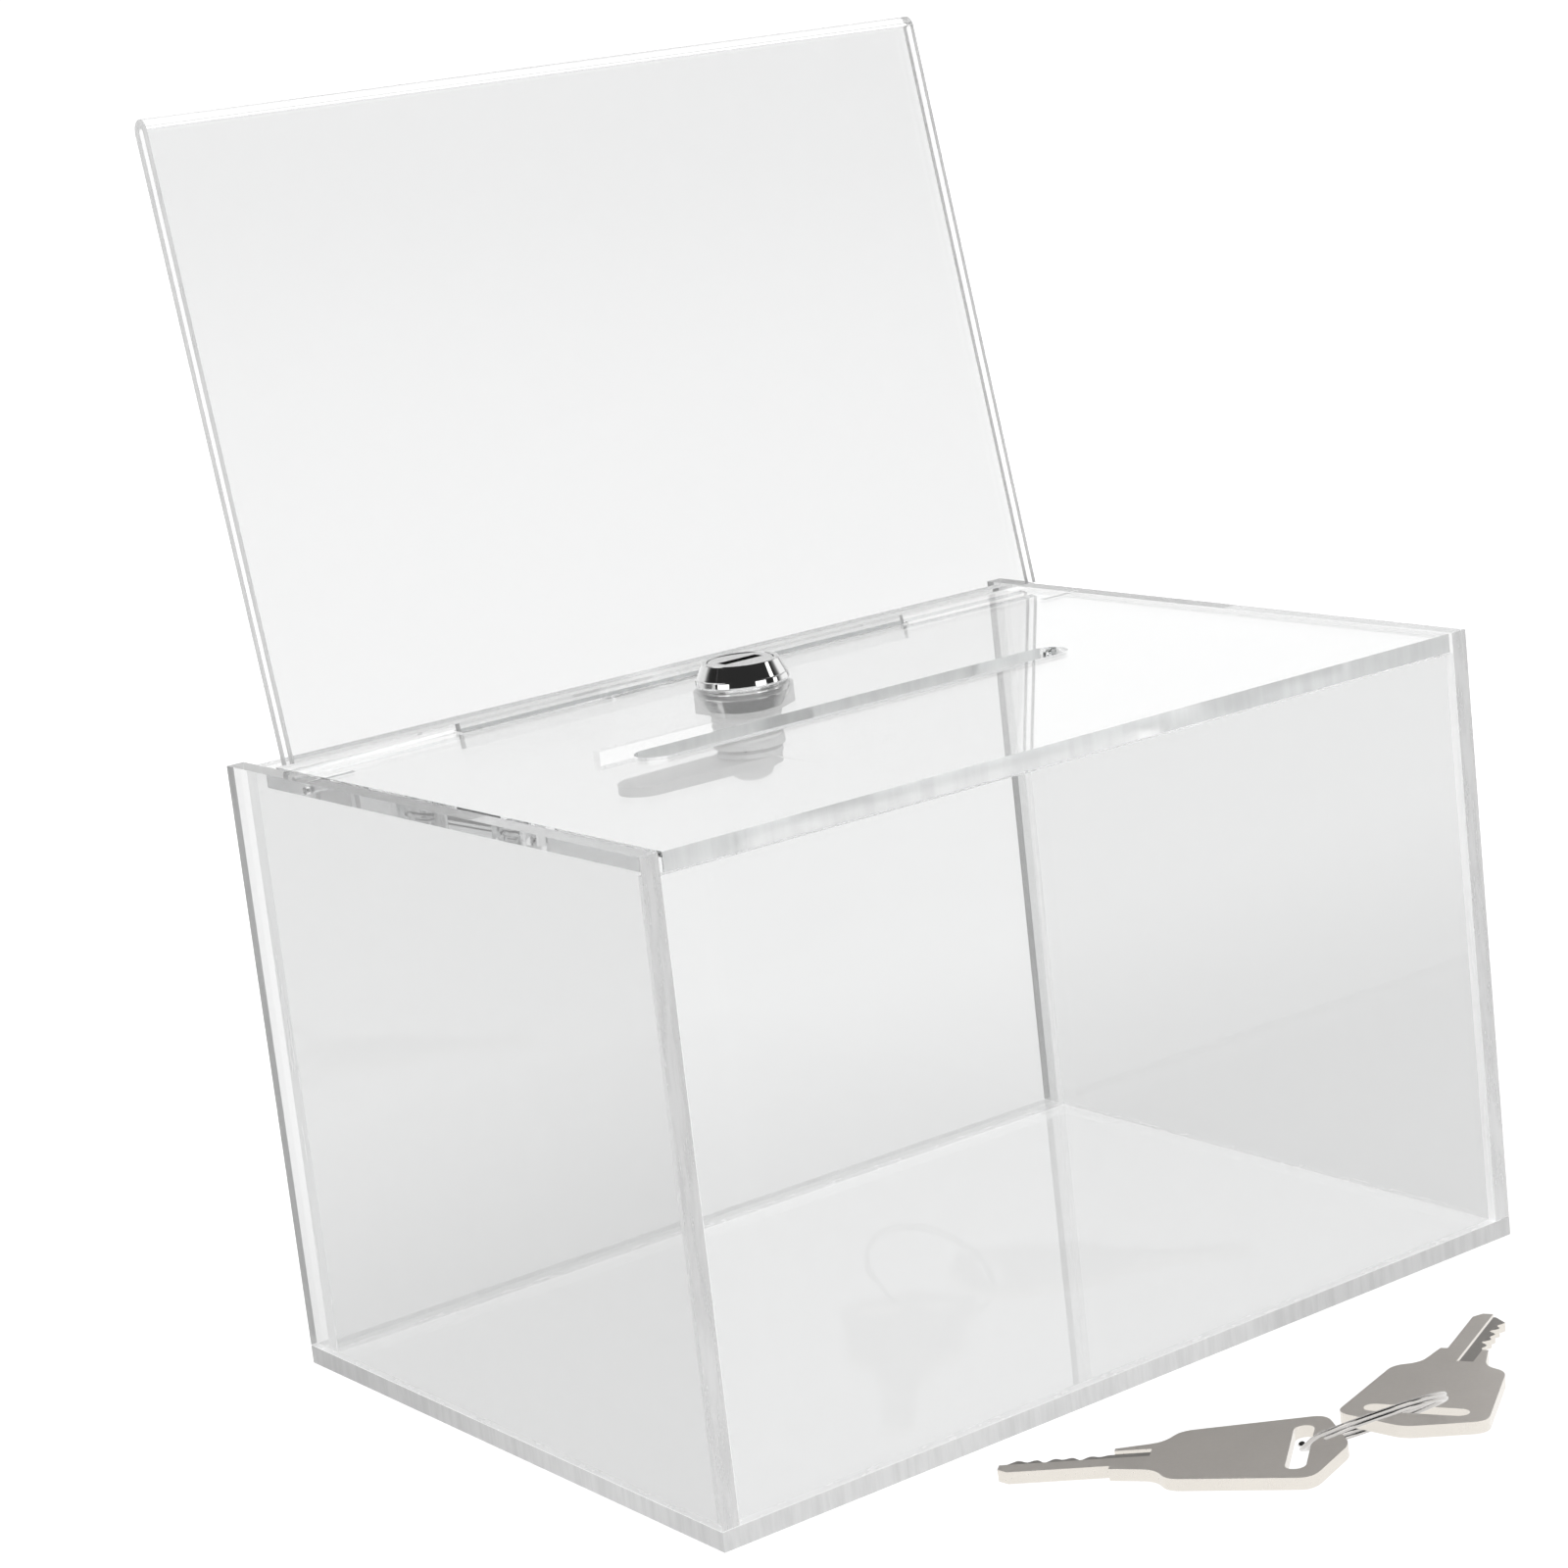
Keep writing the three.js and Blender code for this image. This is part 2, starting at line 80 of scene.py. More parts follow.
def lathe(name, profile, centre, material, segments=96, groove=None):
    """A closed (radius, z) profile in millimetres turned round a vertical axis at centre (metres).

    groove(radius, z, turn) gives how far the surface is cut back at that point.
    """
    verts, faces = [], []
    count = len(profile)
    for step in range(segments):
        turn = step / segments
        angle = 2 * math.pi * turn
        for radius, z in profile:
            reach = radius - groove(radius, z, turn) if groove else radius
            x = centre[0] + reach * MM * math.cos(angle)
            y = centre[1] + reach * MM * math.sin(angle)
            verts.append((x, y, z * MM))
    for step in range(segments):
        here, after = step * count, (step + 1) % segments * count
        for i in range(count):
            j = (i + 1) % count
            faces.append((here + i, after + i, after + j, here + j))
    return mesh_object(name, verts, faces, material)


def keep_sharp(obj, angle_deg):
    """Marks the edges where faces meet at more than the angle as sharp."""
    obj.data.set_sharp_from_angle(angle=math.radians(angle_deg))


def bevel(obj, width_mm, segments=2, angle_deg=35):
    """Rounds the sharp edges of a piece with a modifier."""
    modifier = obj.modifiers.new("edge", "BEVEL")
    modifier.width = width_mm * MM
    modifier.segments = segments
    modifier.limit_method = "ANGLE"
    modifier.angle_limit = math.radians(angle_deg)
    modifier.harden_normals = False
    return modifier


# ---- materials -----------------------------------------------------------------------------
class Nodes:
    """A short way to make node trees: a new material with its Principled shader at hand."""

    def __init__(self, name):
        self.material = bpy.data.materials.new(name)
        self.material.use_nodes = True
        self.tree = self.material.node_tree
        self.shader = self.tree.nodes["Principled BSDF"]
        self.output = self.tree.nodes["Material Output"]

    def add(self, kind, **values):
        """A new node; values are its settings, or the values of its input sockets."""
        node = self.tree.nodes.new(kind)
        for key, value in values.items():
            if hasattr(node, key):
                setattr(node, key, value)
            else:
                node.inputs[key].default_value = value
        return node

    def link(self, source, output, target, socket):
        self.tree.links.new(source.outputs[output], target.inputs[socket])

    def range(self, source, output, before, after):
        """Maps a value from the range before to the range after."""
        node = self.add("ShaderNodeMapRange")
        ends = zip(("From Min", "From Max", "To Min", "To Max"), before + after)
        for socket, value in ends:
            node.inputs[socket].default_value = value
        self.link(source, output, node, "Value")
        return node

    def bump(self, source, output, strength, distance):
        """Turns a value into a fine relief of the surface."""
        node = self.add("ShaderNodeBump", Strength=strength, Distance=distance)
        self.link(source, output, node, "Height")
        self.link(node, "Normal", self.shader, "Normal")

    def absorb(self, density):
        """A slight grey colour that deepens with the way through the sheet."""
        node = self.add("ShaderNodeVolumeAbsorption", Color=SHEET_COLOUR, Density=density)
        self.link(node, "Volume", self.output, "Volume")

    def two_tone(self, source, output, colour, dark):
        """The colour, and a darker tone of it where the value is low."""
        node = self.add("ShaderNodeMix", data_type="RGBA")
        node.inputs["A"].default_value = (*[c * dark for c in colour], 1)
        node.inputs["B"].default_value = (*colour, 1)
        self.link(source, output, node, "Factor")
        return node


ACRYLIC_IOR = 1.491
SHEET_COLOUR = (0.82, 0.835, 0.835, 1)
SHEET_DENSITY = 4.0
EDGE_PAINTED_GLOW = 0.08  # painted light: a glow on the cut edges, standing in for light led along inside the sheet, which leaves at its cut edges


def grey(value, blue=0.002):
    """A grey with a trace of blue-green in it."""
    return value, value + blue, value + blue


def acrylic_material(name, tint):
    """Clear acrylic: faint wipe marks in the polish, a few hairline scratches and a slight ripple."""
    m = Nodes(name)
    m.shader.inputs["Base Color"].default_value = (*tint, 1)
    m.shader.inputs["Transmission Weight"].default_value = 1.0
    m.shader.inputs["IOR"].default_value = ACRYLIC_IOR
    coords = m.add("ShaderNodeTexCoord")
    wipe = m.add("ShaderNodeTexNoise", Scale=38.0, Detail=4.0, Roughness=0.55)
    m.link(coords, "Object", wipe, "Vector")
    polish = m.range(wipe, "Fac", (0.45, 0.75), (0.002, 0.02))
    stretch = m.add("ShaderNodeMapping", Rotation=(0.5, 0.9, 0.4), Scale=(1, 0.02, 1))
    m.link(coords, "Object", stretch, "Vector")
    hairline = m.add("ShaderNodeTexNoise", Scale=420.0, Detail=2.0)
    m.link(stretch, "Vector", hairline, "Vector")
    scratch = m.range(hairline, "Fac", (0.72, 0.76), (0.0, 0.10))
    both = m.add("ShaderNodeMath", operation="ADD")
    m.link(polish, "Result", both, 0)
    m.link(scratch, "Result", both, 1)
    m.link(both, "Value", m.shader, "Roughness")
    ripple = m.add("ShaderNodeTexNoise", Scale=9.0, Detail=1.0)
    m.link(coords, "Object", ripple, "Vector")
    m.bump(ripple, "Fac", 0.02, 0.001)
    m.absorb(SHEET_DENSITY)
    return m.material


def cut_edge_material(name, value, roughness, streak_scale, rear_shade=1.0, glow=EDGE_PAINTED_GLOW, through=0.35):
    """A sawn and scraped acrylic edge: satin and slightly grey, with fine marks across the sheet.

    rear_shade is how much of its brightness is left at the rear of the box.
    """
    m = Nodes(name)
    m.shader.inputs["Transmission Weight"].default_value = through
    m.shader.inputs["IOR"].default_value = ACRYLIC_IOR
    coords = m.add("ShaderNodeTexCoord")
    slant = (math.radians(20), math.radians(20), math.radians(45))
    stretch = m.add("ShaderNodeMapping", Rotation=slant, Scale=(1, 1, 0.12))
    m.link(coords, "Object", stretch, "Vector")
    streaks = m.add("ShaderNodeTexNoise", Scale=streak_scale, Detail=5.0, Roughness=0.6)
    m.link(stretch, "Vector", streaks, "Vector")
    contrast = m.range(streaks, "Fac", (0.38, 0.6), (0.0, 1.0))
    shade = m.two_tone(contrast, "Result", grey(value, 0), 0.86)
    split = m.add("ShaderNodeSeparateXYZ")
    m.link(coords, "Object", split, "Vector")
    depth = m.range(split, "Y", (-0.03, 0.05), (1.0, rear_shade))
    scaled = m.add("ShaderNodeVectorMath", operation="SCALE")
    m.link(shade, "Result", scaled, 0)
    m.link(depth, "Result", scaled, "Scale")
    m.link(scaled, "Vector", m.shader, "Base Color")
    # painted light: the cut edge glows white
    m.shader.inputs["Emission Color"].default_value = (1, 1, 1, 1)
    m.shader.inputs["Emission Strength"].default_value = glow
    rough = m.range(streaks, "Fac", (0.0, 1.0), (roughness * 1.4, roughness * 0.7))
    m.link(rough, "Result", m.shader, "Roughness")
    m.bump(streaks, "Fac", 0.35, 0.00005)
    m.absorb(SHEET_DENSITY)
    return m.material


def metal_material(name, colour, roughness, scratch=0.05, grain=900.0, relief=0.12, metallic=1.0):
    """Plated or bare metal with a fine grain in its roughness and faint colour variation."""
    m = Nodes(name)
    m.shader.inputs["Metallic"].default_value = metallic
    coords = m.add("ShaderNodeTexCoord")
    grain_noise = m.add("ShaderNodeTexNoise", Scale=grain, Detail=6.0)
    m.link(coords, "Object", grain_noise, "Vector")
    rough = m.range(grain_noise, "Fac", (0.0, 1.0), (max(0.02, roughness - scratch), roughness + scratch))
    m.link(rough, "Result", m.shader, "Roughness")
    cloud = m.add("ShaderNodeTexNoise", Scale=120.0, Detail=3.0)
    m.link(coords, "Object", cloud, "Vector")
    shade = m.two_tone(cloud, "Fac", colour, 0.92)
    m.link(shade, "Result", m.shader, "Base Color")
    m.bump(grain_noise, "Fac", relief, 0.00005)
    return m.material


# Lit and shaded copies of the one clear acrylic: the side walls' darker tints are painted shade, and the
# lighter tints of the lid, base and sign are painted light.
ACRYLIC = acrylic_material("acrylic_sheet", grey(0.828))
ACRYLIC_LEFT_SHADED = acrylic_material("acrylic_left_wall_shaded", grey(0.70))
ACRYLIC_RIGHT_SHADED = acrylic_material("acrylic_right_wall_shaded", grey(0.765))
ACRYLIC_LID_LIT = acrylic_material("acrylic_lid_lit", grey(0.94))
ACRYLIC_BASE_LIT = acrylic_material("acrylic_base_lit", grey(0.985))
ACRYLIC_SIGN_LIT = acrylic_material("acrylic_sign_lit", grey(0.92, 0.001))
EDGE = cut_edge_material("acrylic_cut_edge", 0.68, 0.25, 900.0)
# Painted light: a near-white cut edge that glows, for the bright lines at the glued joints, along the
# scraped corners and at the bottom plate's rear edge.
EDGE_PAINTED_LIGHT = cut_edge_material("acrylic_edge_painted_light", 0.96, 0.25, 300.0, glow=0.40)
EDGE_POLISHED = cut_edge_material("acrylic_polished_edge", 0.92, 0.16, 300.0, glow=0.10, through=0.7)
# Painted shade: a darker copy of the cut edge, for the rear ends of the side walls.
EDGE_REAR_SHADED = cut_edge_material("acrylic_rear_edge_shaded", 0.48, 0.32, 500.0)
EDGE_ROUGH = cut_edge_material("acrylic_sawn_edge", 0.62, 0.32, 700.0, rear_shade=0.55)
CHROME = metal_material("chrome_plate", grey(0.82, 0), 0.05, scratch=0.02, relief=0.01)
CHROME_FACE = metal_material("chrome_face", grey(0.78, 0), 0.16, relief=0.02)
ZINC = metal_material("zinc_steel", grey(0.93, 0), 0.45, scratch=0.08, metallic=0.12)
# painted shade: near-black for the inside of the keyhole
KEYWAY_PAINTED_SHADE = metal_material("keyway_painted_shade", grey(0.03, 0), 0.6, metallic=0.5)
BRASS = metal_material("wafer_brass", (0.72, 0.55, 0.27), 0.32, scratch=0.06)
PIN_STEEL = metal_material("pin_steel", (0.60, 0.61, 0.62), 0.25)
WORN = {"scratch": 0.08, "grain": 1500.0}
NICKEL = metal_material("key_nickel", (0.64, 0.60, 0.56), 0.38, 0.10, 1600.0, relief=0.4, metallic=0.8)
KEY_EDGE = metal_material("key_worn_edge", (0.80, 0.76, 0.70), 0.25, **WORN)
KEY_GROOVE = metal_material("key_groove", (0.36, 0.34, 0.32), 0.45, **WORN, metallic=0.8)
WIRE = metal_material("ring_wire", (0.60, 0.58, 0.56), 0.20, relief=0.05)


# ---- CAD nodes that keep their shape -------------------------------------------------------
ALONG = 0.9  # a face looks along a direction when the dot product is over this
LEFT, RIGHT = Vector((-1, 0, 0)), Vector((1, 0, 0))
FRONT, REAR = Vector((0, -1, 0)), Vector((0, 1, 0))
DOWN = Vector((0, 0, -1))


def dress(node, material, edge_mm=0.0, segments=2):
    """Gives a CAD node its material, smooth curves and softly broken edges."""
    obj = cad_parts[node]
    obj.data.materials.clear()
    obj.data.materials.append(material)
    for polygon in obj.data.polygons:
        polygon.use_smooth = True
    keep_sharp(obj, 35)
    if edge_mm:
        bevel(obj, edge_mm, segments)
    return obj


def clear_sheet(node, material, edge_mm=0.12):
    """A clear sheet whose corners are scraped to a narrow strip, made bright with painted light."""
    obj = dress(node, material, edge_mm)
    obj.data.materials.append(EDGE_PAINTED_LIGHT)
    obj.modifiers["edge"].material = obj.data.materials.find(EDGE_PAINTED_LIGHT.name)


def sawn(node, material, directions):
    """Gives the faces of a clear CAD node that look along one of the directions a cut-edge material."""
    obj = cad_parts[node]
    if material.name not in obj.data.materials:
        obj.data.materials.append(material)
    slot = obj.data.materials.find(material.name)
    turn = obj.matrix_world.to_3x3().normalized()
    for polygon in obj.data.polygons:
        normal = turn @ polygon.normal
        if any(normal.dot(direction) > ALONG for direction in directions):
            polygon.material_index = slot


def dress_box():
    """The glued box, the lid and the sign holder."""
    clear_sheet("front_wall", ACRYLIC)
    clear_sheet("rear_plate", ACRYLIC)
    clear_sheet("right_wall", ACRYLIC_RIGHT_SHADED)
    clear_sheet("left_wall", ACRYLIC_LEFT_SHADED)
    clear_sheet("lid", ACRYLIC_LID_LIT)
    clear_sheet("sign_holder", ACRYLIC_SIGN_LIT, 0.10)
    dress("bottom_plate", ACRYLIC_BASE_LIT, 0.05)
    for wall in ("left_wall", "right_wall"):
        sawn(wall, EDGE, [FRONT])
        sawn(wall, EDGE_REAR_SHADED, [REAR])
        sawn(wall, EDGE_PAINTED_LIGHT, [DOWN])
    for sheet in ("front_wall", "rear_plate"):
        sawn(sheet, EDGE_PAINTED_LIGHT, [LEFT, RIGHT, DOWN])
    sawn("sign_holder", EDGE, [LEFT, RIGHT])
    sawn("bottom_plate", EDGE_ROUGH, [LEFT, RIGHT, FRONT])
    # painted light on the bottom plate's rear edge
    sawn("bottom_plate", EDGE_PAINTED_LIGHT, [REAR])
    sawn("lid", EDGE_POLISHED, [FRONT])
    for pin in ("hinge_pin_left", "hinge_pin_right"):
        dress(pin, PIN_STEEL, 0.08)


HOUSING_LOW, HOUSING_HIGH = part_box("lock_housing")
LOCK_AT = [(low + high) / 2 for low, high in zip(HOUSING_LOW[:2], HOUSING_HIGH[:2])]
KEYWAY_HALF = (3.9, 1.25)  # half length and half width of the keyhole, with a little to spare


def paint_keyway_shade(plug):
    """The walls and floor of the keyhole are dull unplated metal, painted near-black as shade in the slot.
    """
    plug.data.materials.append(KEYWAY_PAINTED_SHADE)
    turn = plug.matrix_world.to_3x3().normalized()
    for polygon in plug.data.polygons:
        centre = plug.matrix_world @ polygon.center
        across = [abs(centre[axis] - LOCK_AT[axis]) / MM for axis in (0, 1)]
        inside = across[0] < KEYWAY_HALF[0] and across[1] < KEYWAY_HALF[1]
        if inside and (turn @ polygon.normal).z < ALONG:
            polygon.material_index = 1


def dress_lock():
    """The plug and the steel and brass parts of the lock."""
    paint_keyway_shade(dress("lock_plug", CHROME, 0.08))
    for fitting in ("lock_washer", "lock_nut", "stop_plate", "cam", "cam_washer", "cam_screw"):
        dress(fitting, ZINC, 0.1)
    for index in range(1, 5):
        dress(f"wafer_{index}", BRASS)


GROOVE_CHECK = 0.3  # an upward face this far under the key's face is the groove's floor
SIDEWAYS = 0.5


def dress_key(node):
    """A nickel-plated key: worn bright at its edges, dull and dark in the milled groove."""
    obj = dress(node, NICKEL, 0.18, 3)
    obj.data.materials.append(KEY_EDGE)
    obj.data.materials.append(KEY_GROOVE)
    obj.visible_glossy = False  # keeps a second image of the key out of the front sheet
    place = obj.matrix_world
    turn = place.to_3x3().normalized()
    up_faces = [p for p in obj.data.polygons if (turn @ p.normal).z > ALONG]
    top = max(up_faces, key=lambda p: p.area)
    normal = turn @ top.normal
    height = (place @ top.center).dot(normal)
    for polygon in obj.data.polygons:
        facing = (turn @ polygon.normal).dot(normal)
        depth = height - (place @ polygon.center).dot(normal)
        if abs(facing) < SIDEWAYS:
            polygon.material_index = 1
        elif facing > ALONG and depth > GROOVE_CHECK * MM:
            polygon.material_index = 2


dress_box()
dress_lock()
dress_key("key_1")
dress_key("key_2")


# ---- the lock's housing with its thread, and the plug's face --------------------------------
BARREL = {"radius": 5.9, "bore": 4.4, "recess": 5.5}
BARREL_END = HOUSING_LOW[2] / MM
HEAD_TOP = HOUSING_HIGH[2] / MM
LID_UNDERSIDE, LID_TOP = (corner[2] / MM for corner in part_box("lid"))
SEAT = HEAD_TOP - 1.6  # the floor of the recess that the plug's head turns in
HEAD = [  # radius, and height over the lid's top, from the foot of the head to the rim of the recess
    (7.4, 0.2), (7.66, 0.28), (7.76, 0.45), (7.77, 0.6), (7.60, 1.3), (7.5, 1.42), (7.42, 1.48),
    (7.36, 1.6), (6.42, 3.6), (6.34, 3.78), (6.22, 3.9), (5.58, 3.9), (5.5, 3.82),
]
THREAD = {"pitch": 1.0, "depth": 0.32, "low": BARREL_END + 0.5, "high": LID_TOP - 0.2, "rows_per_pitch": 8}
HEAD_SHARP = 12
KEYHOLE_HALF = (3.8, 1.15)
CAP = {"radius": 5.4, "chamfer": 0.1, "low": HEAD_TOP - 0.5, "high": HEAD_TOP - 0.1}
CAP_INNER = 1.0  # a stand-in radius for the cap's inner loop, which keyhole_edge moves


def thread_groove(radius, z, turn):
    """How deep the thread is cut at a point of the barrel's outer surface."""
    if abs(radius - BARREL["radius"]) > 0.01 or not THREAD["low"] < z < THREAD["high"]:
        return 0.0
    wave = abs(2 * ((z / THREAD["pitch"] - turn) % 1.0) - 1)
    fade = min(1.0, (z - THREAD["low"]) / THREAD["pitch"], (THREAD["high"] - z) / THREAD["pitch"])
    return THREAD["depth"] * wave * fade


def make_housing():
    """The chromed head, and the barrel with its thread, which is zinc under the lid."""
    head = [(radius, LID_TOP + height) for radius, height in HEAD]
    rows = int((head[0][1] - BARREL_END) / THREAD["pitch"] * THREAD["rows_per_pitch"])
    rise = (head[0][1] - BARREL_END) / rows
    barrel = [(BARREL["radius"], BARREL_END + row * rise) for row in range(rows + 1)]
    inside = [(BARREL["recess"], SEAT), (BARREL["bore"], SEAT), (BARREL["bore"], BARREL_END)]
    housing = lathe("housing_body", barrel + head + inside, LOCK_AT, CHROME, groove=thread_groove)
    keep_sharp(housing, HEAD_SHARP)
    housing.data.materials.append(ZINC)
    for polygon in housing.data.polygons:
        if polygon.center.z < LID_UNDERSIDE * MM:
            polygon.material_index = 1
    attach(housing, "lid")
    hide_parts("lock_housing")


def keyhole_edge(radius, z, turn):
    """Shapes the inner loop of the plug's cap into the long keyhole."""
    if radius > CAP_INNER:
        return 0.0
    across, along = abs(math.cos(2 * math.pi * turn)), abs(math.sin(2 * math.pi * turn))
    reach = min(KEYHOLE_HALF[0] / max(across, 1e-6), KEYHOLE_HALF[1] / max(along, 1e-6))
    return radius - reach


def make_plug_cap():
    """The plug's polished face, almost level with the rim round it."""
    low, high, radius, chamfer = CAP["low"], CAP["high"], CAP["radius"], CAP["chamfer"]
    inner = [(CAP_INNER, low), (CAP_INNER, high)]
    outer = [(radius - chamfer, high), (radius, high - chamfer), (radius, low)]
    cap = lathe("plug_cap", inner + outer, LOCK_AT, CHROME_FACE, segments=192, groove=keyhole_edge)
    keep_sharp(cap, HEAD_SHARP)
    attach(cap, "plug")


make_housing()
make_plug_cap()


# ---- the split ring ------------------------------------------------------------------------
RING_CENTRE = (Vector(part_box("key_ring")[0]) + Vector(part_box("key_ring")[1])) / 2
RING_TURN = math.radians(170)
RING_LEAN = math.radians(30)
COIL = {"radius": 10.58, "radial": 0.46, "axial": 0.32, "offset": 0.31, "cross_deg": 16, "gap_deg": 3}
COIL_STEPS = 150
WIRE_SIDES = 14


def coil_offset(angle):
    """Height of the wire over the ring's middle plane: one turn below, a short crossing, one above."""
    cross = math.radians(COIL["cross_deg"])
    part = max(0.0, min(1.0, (angle - (2 * math.pi - cross)) / (2 * cross)))
    return COIL["offset"] * (2 * part * part * (3 - 2 * part) - 1)


def make_ring():
    """The split ring: flat wire wound twice, with its two ends either side of the crossing."""
    start = math.radians(COIL["cross_deg"] + COIL["gap_deg"])
    end = 4 * math.pi - start
    turned = Matrix.Rotation(RING_TURN, 4, "Z") @ Matrix.Rotation(RING_LEAN, 4, "X")
    place = Matrix.Translation(RING_CENTRE) @ turned
    verts, faces = [], []
    for step in range(COIL_STEPS + 1):
        angle = start + (end - start) * step / COIL_STEPS
        for side in range(WIRE_SIDES):
            around = 2 * math.pi * side / WIRE_SIDES
            radius = COIL["radius"] + COIL["radial"] * math.cos(around)
            height = coil_offset(angle) + COIL["axial"] * math.sin(around)
            verts.append(place @ (Vector((radius * math.cos(angle), radius * math.sin(angle), height)) * MM))
    for step in range(COIL_STEPS):
        a, b = step * WIRE_SIDES, (step + 1) * WIRE_SIDES
        for side in range(WIRE_SIDES):
            after = (side + 1) % WIRE_SIDES
            faces.append((a + side, b + side, b + after, a + after))
    faces.append(tuple(range(WIRE_SIDES)))
    faces.append(tuple(COIL_STEPS * WIRE_SIDES + side for side in reversed(range(WIRE_SIDES))))
    ring = mesh_object("split_ring", verts, faces, WIRE)
    keep_sharp(ring, 50)
    ring.visible_glossy = False
    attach(ring, "ring")
    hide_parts("key_ring")


make_ring()


# ---- stage and light -----------------------------------------------------------------------
CAMERA_AZIMUTH = 35.12  # degrees; the camera looks this far to the right of +Y
FLOOR_HALF = 30.0
FLOOR_UNDER = 0.2 * MM  # how far the floor lies under z = 0, clear of the keys
FLOOR_NEAR, FLOOR_FAR = 0.99, 1.14  # glow of the floor in front of the box and behind it; the weaker glow in front is painted shade near the box
HORIZON_LIGHT = 1.1
REAR_CEILING, FRONT_CEILING = 0.55, 0.03  # the ceiling behind the box and over the camera


def fade_node(tree, source, output, before, after):
    """Maps a value from the range before to the range after, with soft ends."""
    node = tree.nodes.new("ShaderNodeMapRange")
    node.interpolation_type = "SMOOTHSTEP"
    for socket, value in zip(("From Min", "From Max", "To Min", "To Max"), before + after):
        node.inputs[socket].default_value = value
    tree.links.new(source.outputs[output], node.inputs["Value"])
    return node


def floor_material():
    """A pale light-table top: it glows a little, so that it stays white under the clear sheets."""
    m = Nodes("pale_floor")
    m.shader.inputs["Base Color"].default_value = (0.12, 0.12, 0.12, 1)
    m.shader.inputs["Roughness"].default_value = 0.9
    m.shader.inputs["Specular IOR Level"].default_value = 0.0
    m.shader.inputs["Emission Color"].default_value = (1, 1, 1, 1)
    coords = m.add("ShaderNodeTexCoord")
    split = m.add("ShaderNodeSeparateXYZ")
    m.link(coords, "Object", split, "Vector")
    # painted shade: the floor glows less near the box than behind it
    glow = fade_node(m.tree, split, "Y", (0.03, 0.18), (FLOOR_NEAR, FLOOR_FAR))
    m.link(glow, "Result", m.shader, "Emission Strength")
    return m.material


def make_floor():
    corners = [(-1, -1), (1, -1), (1, 1), (-1, 1)]
    verts = [(x * FLOOR_HALF, y * FLOOR_HALF, -FLOOR_UNDER) for x, y in corners]
    floor = mesh_object("floor", verts, [(0, 1, 2, 3)], floor_material(), smooth=False)


def make_world():
    """White walls all round under a grey ceiling, and a dark part of the room in front of the box."""
    world = bpy.data.worlds.new("studio")
    world.use_nodes = True
    tree = world.node_tree
    links = tree.links
    background = tree.nodes["Background"]
    background.inputs["Color"].default_value = (1, 1, 1, 1)
    direction = tree.nodes.new("ShaderNodeTexCoord")
    split = tree.nodes.new("ShaderNodeSeparateXYZ")
    links.new(direction.outputs["Generated"], split.inputs["Vector"])
    azimuth = math.radians(CAMERA_AZIMUTH)
    towards = tree.nodes.new("ShaderNodeVectorMath")
    towards.operation = "DOT_PRODUCT"
    towards.inputs[1].default_value = (-math.sin(azimuth), -math.cos(azimuth), 0)
    links.new(direction.outputs["Generated"], towards.inputs[0])
    ceiling = fade_node(tree, towards, "Value", (-0.6, -0.1), (REAR_CEILING, FRONT_CEILING))
    front = fade_node(tree, towards, "Value", (-0.50, -0.30), (0.0, 1.0))
    rise = fade_node(tree, split, "Z", (0.36, 0.50), (0.0, 1.0))
    front_rise = fade_node(tree, split, "Z", (0.05, 0.14), (0.0, 1.0))
    height = tree.nodes.new("ShaderNodeMix")
    links.new(front.outputs["Result"], height.inputs["Factor"])
    links.new(rise.outputs["Result"], height.inputs["A"])
    links.new(front_rise.outputs["Result"], height.inputs["B"])
    light = tree.nodes.new("ShaderNodeMix")
    light.inputs["A"].default_value = HORIZON_LIGHT
    links.new(height.outputs["Result"], light.inputs["Factor"])
    links.new(ceiling.outputs["Result"], light.inputs["B"])
    links.new(light.outputs["Result"], background.inputs["Strength"])
    scene.world = world


BOX_MIDDLE = (0, 0, 0.1)
FILLS = ["diffuse", "transmission"]
GLINTS = [(-46, 0.75), (-88, 0.30), (50, 0.80)]  # angle round from the camera, and width, of each
GLINT_AWAY, GLINT_HEIGHT, GLINT_TALL, GLINT_RADIANCE = 1.5, 0.55, 0.85, 2.0


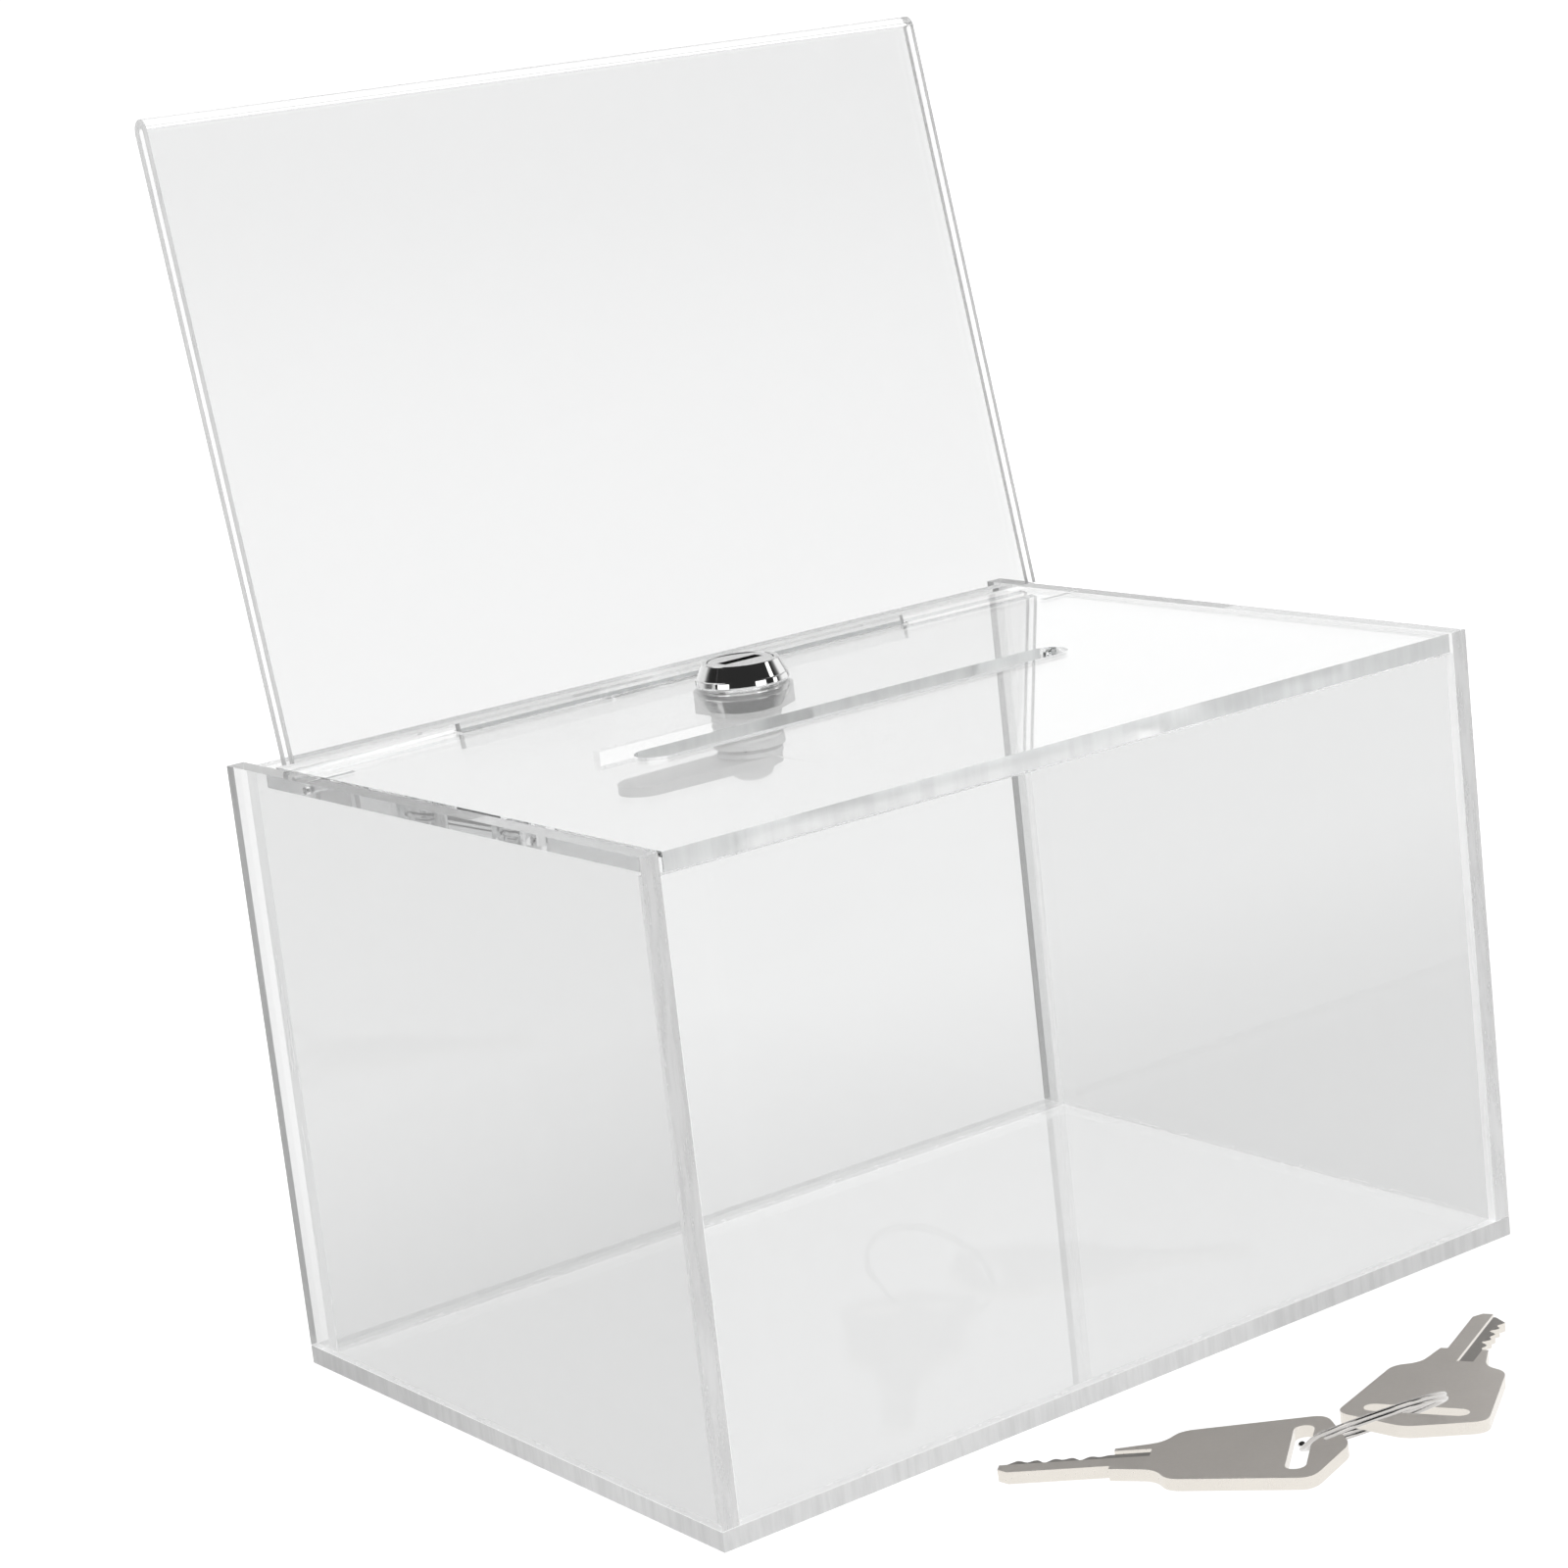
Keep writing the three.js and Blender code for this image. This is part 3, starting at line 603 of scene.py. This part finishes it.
def softbox(name, at, aim_at, size, radiance, sees):
    """A rectangular softbox; sees lists the kinds of ray that meet it besides direct light."""
    data = bpy.data.lights.new(name, "AREA")
    data.shape = "RECTANGLE"
    data.size, data.size_y = size
    data.energy = radiance * math.pi * size[0] * size[1]
    light = bpy.data.objects.new(name, data)
    light.location = at
    light.rotation_euler = (Vector(aim_at) - Vector(at)).to_track_quat("-Z", "Y").to_euler()
    light.visible_camera = False
    light.visible_diffuse = "diffuse" in sees
    light.visible_glossy = "glossy" in sees
    light.visible_transmission = "transmission" in sees
    scene.collection.objects.link(light)


def round_the_camera(azimuth_deg, distance, height):
    """A place at that angle round from the camera's side, seen from above."""
    angle = math.radians(CAMERA_AZIMUTH + 180 + azimuth_deg)
    return Vector((math.sin(angle) * distance, math.cos(angle) * distance, height))


def make_lights():
    """Softboxes for the glints in the chrome, and two large fills."""
    for index, (azimuth_deg, width) in enumerate(GLINTS):
        at = round_the_camera(azimuth_deg, GLINT_AWAY, GLINT_HEIGHT)
        size = (width, GLINT_TALL)
        softbox(f"glint_{index}", at, (0, 0, GLINT_HEIGHT), size, GLINT_RADIANCE, ["glossy"])
    softbox("top_fill", (0.1, 0.1, 1.6), BOX_MIDDLE, (3.0, 3.0), 1.4, FILLS)
    softbox("front_fill", round_the_camera(0, 1.6, 0.5), BOX_MIDDLE, (4.0, 1.4), 1.2, FILLS)


make_floor()
make_world()
make_lights()


# ---- camera --------------------------------------------------------------------------------
CAMERA_DROP = 12.46
CAMERA_ROLL = -6.52
CAMERA_AT = Vector((-0.3514, -0.4807, 0.2189))
LENS_MM, SENSOR_MM = 88.9, 36.0


def make_camera():
    azimuth, drop = math.radians(CAMERA_AZIMUTH), math.radians(CAMERA_DROP)
    level = math.cos(drop)
    forward = Vector((math.sin(azimuth) * level, math.cos(azimuth) * level, -math.sin(drop)))
    data = bpy.data.cameras.new("camera")
    data.lens = LENS_MM
    data.sensor_width = SENSOR_MM
    data.clip_start, data.clip_end = 0.01, 50.0
    camera = bpy.data.objects.new("camera", data)
    aim = forward.to_track_quat("-Z", "Y").to_matrix().to_4x4()
    roll = Matrix.Rotation(math.radians(CAMERA_ROLL), 4, "Z")
    camera.matrix_world = Matrix.Translation(CAMERA_AT) @ aim @ roll
    scene.collection.objects.link(camera)
    scene.camera = camera


make_camera()
